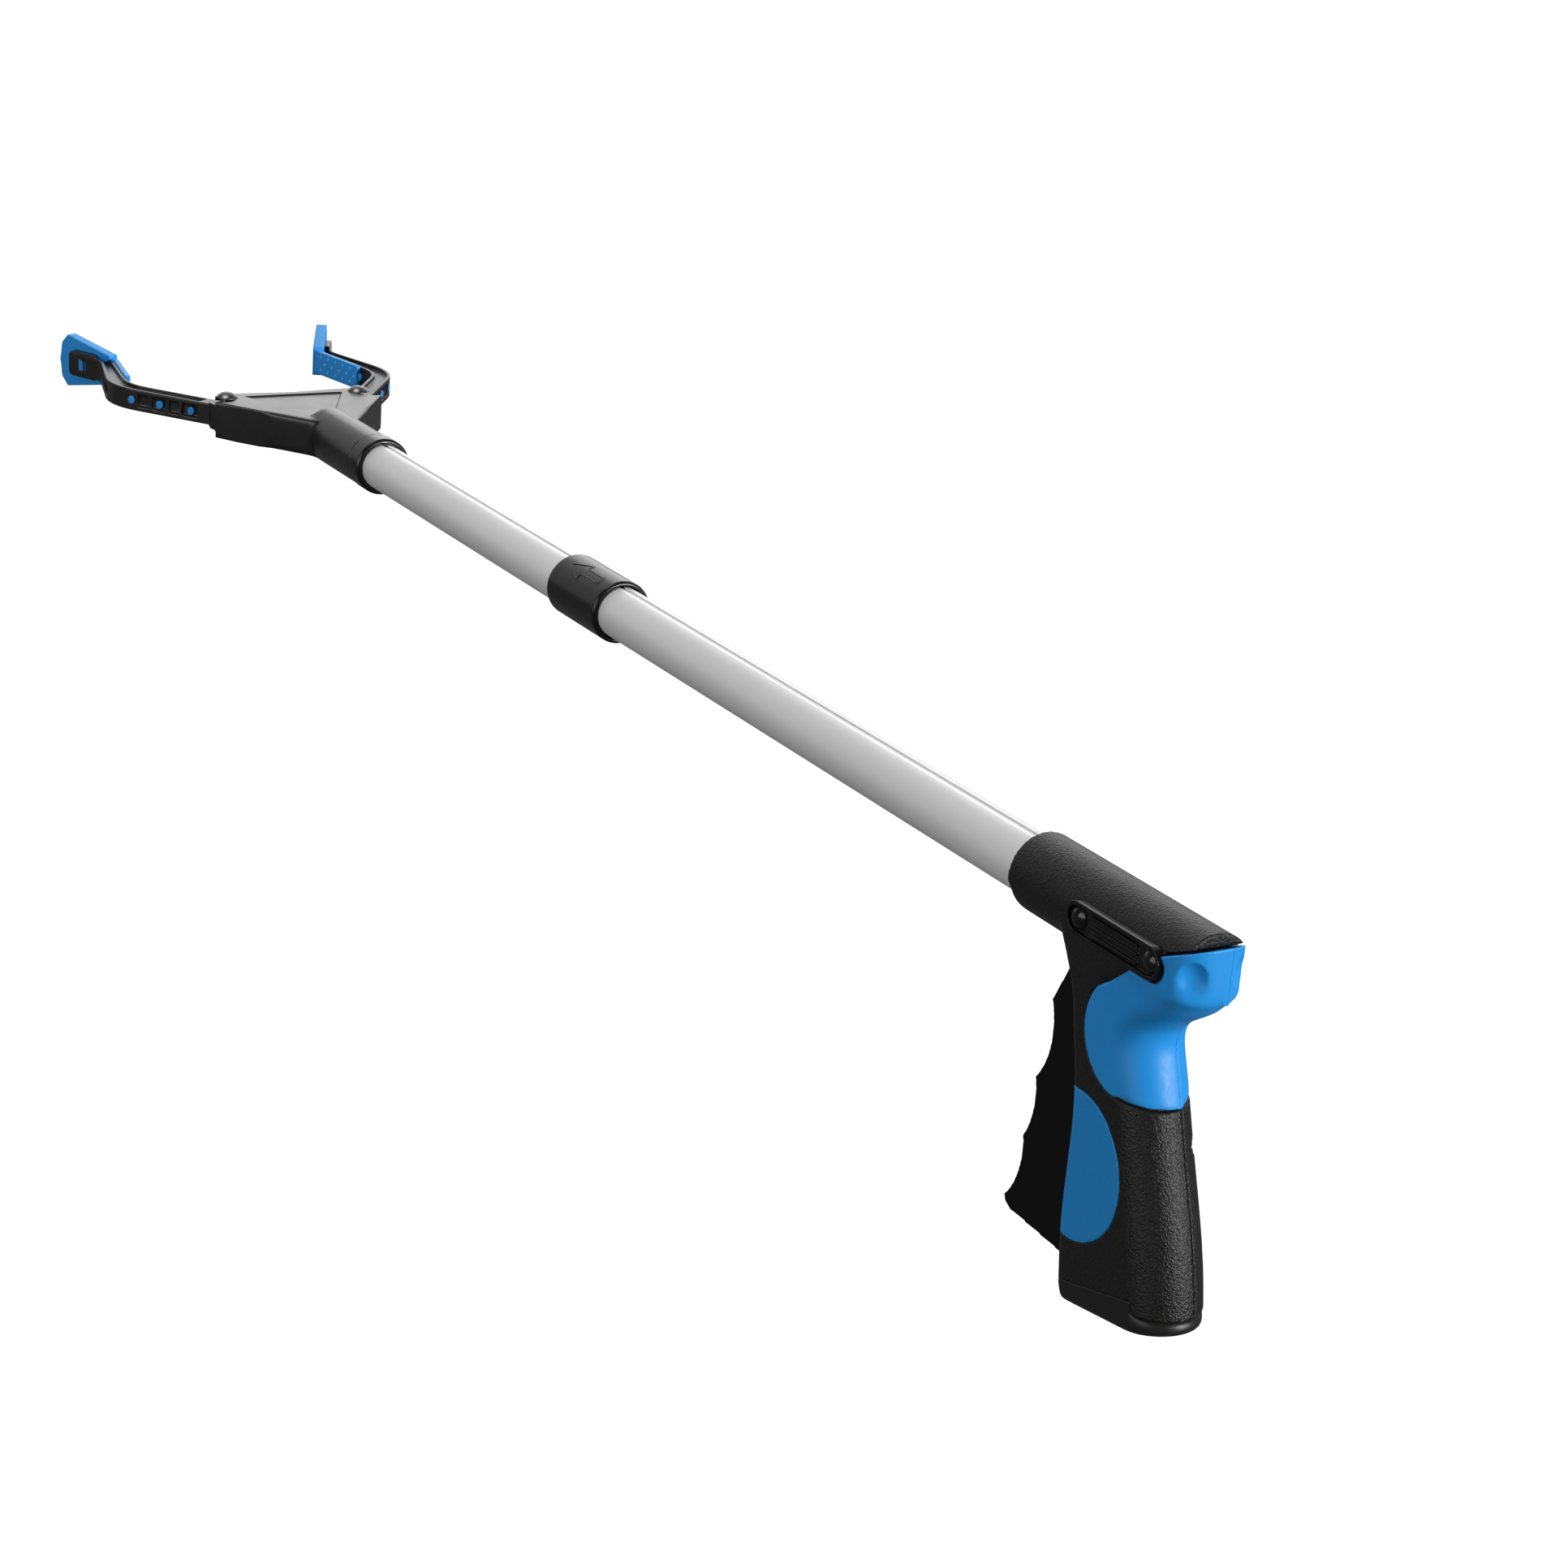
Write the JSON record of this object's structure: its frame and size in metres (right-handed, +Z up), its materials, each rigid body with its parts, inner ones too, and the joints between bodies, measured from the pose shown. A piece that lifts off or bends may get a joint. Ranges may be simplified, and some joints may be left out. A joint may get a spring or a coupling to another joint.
{
  "type": "folding reacher grabber",
  "caption": "Folding trigger-operated reacher grabber with a pistol grip, an aluminium shaft, a swivelling head and padded jaws.",
  "frame": {"origin": "on the shaft's axis, at the front rim of the handle's barrel", "axes": "+X along the shaft towards the jaws, +Y to the user's left, +Z up, away from the trigger"},
  "size_m": [0.8102, 0.1318, 0.1283],
  "materials": {
    "shell_black": "fine moulded leather-like texture",
    "grip_blue": "soft satin overmoulding",
    "inlay_blue": "slightly matte overmoulding",
    "cap_black": "smooth moulded",
    "plate_black": "polished",
    "pin_black": "black satin",
    "screw_steel": "zinc plated",
    "tube_silver": "satin anodised",
    "knuckle_grey": "smooth moulded",
    "pin_steel": "ground",
    "trigger_black": "smooth moulded",
    "link_nylon": "natural nylon",
    "cord_white": "braided cord",
    "ferrule_brass": "crimped",
    "sleeve_black": "glossy moulded",
    "spring_steel": "drawn wire",
    "housing_black": "satin moulded",
    "rivet_gunmetal": "gunmetal satin",
    "jaw_black": "satin moulded",
    "liner_blue": "satin moulded, raised dots"
  },
  "bodies": {
    "handle": {"handle_shell_left": "shell_black", "handle_shell_right": "shell_black", "grip_overmould_left": "grip_blue", "grip_overmould_right": "grip_blue", "side_inlay_left": "inlay_blue", "side_inlay_right": "inlay_blue", "base_cap": "cap_black", "side_plate_left": "plate_black", "side_plate_right": "plate_black", "trigger_pivot_pins": "pin_black", "rear_cross_bolt": "pin_black", "handle_screws": "screw_steel", "rear_tube": "tube_silver", "cord_guide": "knuckle_grey", "rear_knuckle": "knuckle_grey", "rear_fold_pins": "pin_steel"},
    "trigger": {"trigger": "trigger_black", "crank_pin": "pin_steel"},
    "pull_link": {"pull_link": "link_nylon"},
    "shuttle": {"shuttle": "link_nylon", "shuttle_pin": "pin_steel", "pull_cord_rear": "cord_white", "cord_ferrule_rear": "ferrule_brass"},
    "fold_link": {"fold_link": "link_nylon", "pull_cord_middle": "cord_white"},
    "front_shaft": {"front_knuckle": "knuckle_grey", "front_tube": "tube_silver", "front_fold_pins": "pin_steel", "head_lock_ring": "sleeve_black", "swivel_plug": "knuckle_grey", "swivel_clip": "spring_steel"},
    "sleeve": {"fold_sleeve": "sleeve_black"},
    "head": {"jaw_housing": "housing_black", "jaw_rivets": "rivet_gunmetal", "jaw_return_spring": "spring_steel"},
    "yoke": {"yoke": "link_nylon", "pull_cord_front": "cord_white"},
    "jaw_left": {"jaw_left": "jaw_black", "jaw_plugs_left": "liner_blue", "jaw_liner_left": "liner_blue", "yoke_pin_left": "pin_steel"},
    "jaw_right": {"jaw_right": "jaw_black", "jaw_plugs_right": "liner_blue", "jaw_liner_right": "liner_blue", "yoke_pin_right": "pin_steel"}
  },
  "joints": [
    {"name": "trigger_squeeze", "type": "hinge", "parent": "handle", "child": "trigger", "pos_m": [-0.037, 0, 0.0009], "axis": [0, 1, 0], "range_deg": [0, 20], "stiffness_Nm_per_rad": 0.4, "springref_deg": -10.03},
    {"name": "pull_link_swing", "type": "hinge", "parent": "shuttle", "child": "pull_link", "pos_m": [-0.054, 0, 0], "axis": [0, 1, 0], "range_deg": [-0.6, 0.6]},
    {"name": "shuttle_slide", "type": "slide", "parent": "handle", "child": "shuttle", "axis": [-1, 0, 0], "range_m": [0, 0.00875]},
    {"name": "fold_rear", "type": "hinge", "parent": "handle", "child": "fold_link", "pos_m": [0.2815, 0, 0], "axis": [0, -1, 0], "range_deg": [0, 84]},
    {"name": "fold_front", "type": "hinge", "parent": "fold_link", "child": "front_shaft", "pos_m": [0.3035, 0, 0], "axis": [0, -1, 0], "range_deg": [0, 84.5]},
    {"name": "sleeve_slide", "type": "slide", "parent": "front_shaft", "child": "sleeve", "axis": [1, 0, 0], "range_m": [0, 0.1768]},
    {"name": "head_swivel", "type": "hinge", "parent": "front_shaft", "child": "head", "pos_m": [0.5022, 0, 0], "axis": [1, 0, 0], "range_deg": [0, 90]},
    {"name": "yoke_slide", "type": "slide", "parent": "head", "child": "yoke", "axis": [-1, 0, 0], "range_m": [0, 0.00875], "deforming": ["jaw_return_spring"]},
    {"name": "jaw_left_close", "type": "hinge", "parent": "head", "child": "jaw_left", "pos_m": [0.594, 0.0307, 0], "axis": [0, 0, -1], "range_deg": [0, 27.2]},
    {"name": "jaw_right_close", "type": "hinge", "parent": "head", "child": "jaw_right", "pos_m": [0.594, -0.0307, 0], "axis": [0, 0, 1], "range_deg": [0, 27.2]}
  ],
  "couplings": [
    {"joint": "shuttle_slide", "follows": "trigger_squeeze", "m_per_rad": 0.024872},
    {"joint": "yoke_slide", "follows": "trigger_squeeze", "m_per_rad": 0.024872},
    {"joint": "jaw_left_close", "follows": "trigger_squeeze", "ratio": 1.35},
    {"joint": "jaw_right_close", "follows": "trigger_squeeze", "ratio": 1.35},
    {"joint": "fold_front", "follows": "fold_rear", "ratio": 1},
    {"joint": "sleeve_slide", "follows": "fold_rear", "m_per_rad": 0.12032}
  ]
}
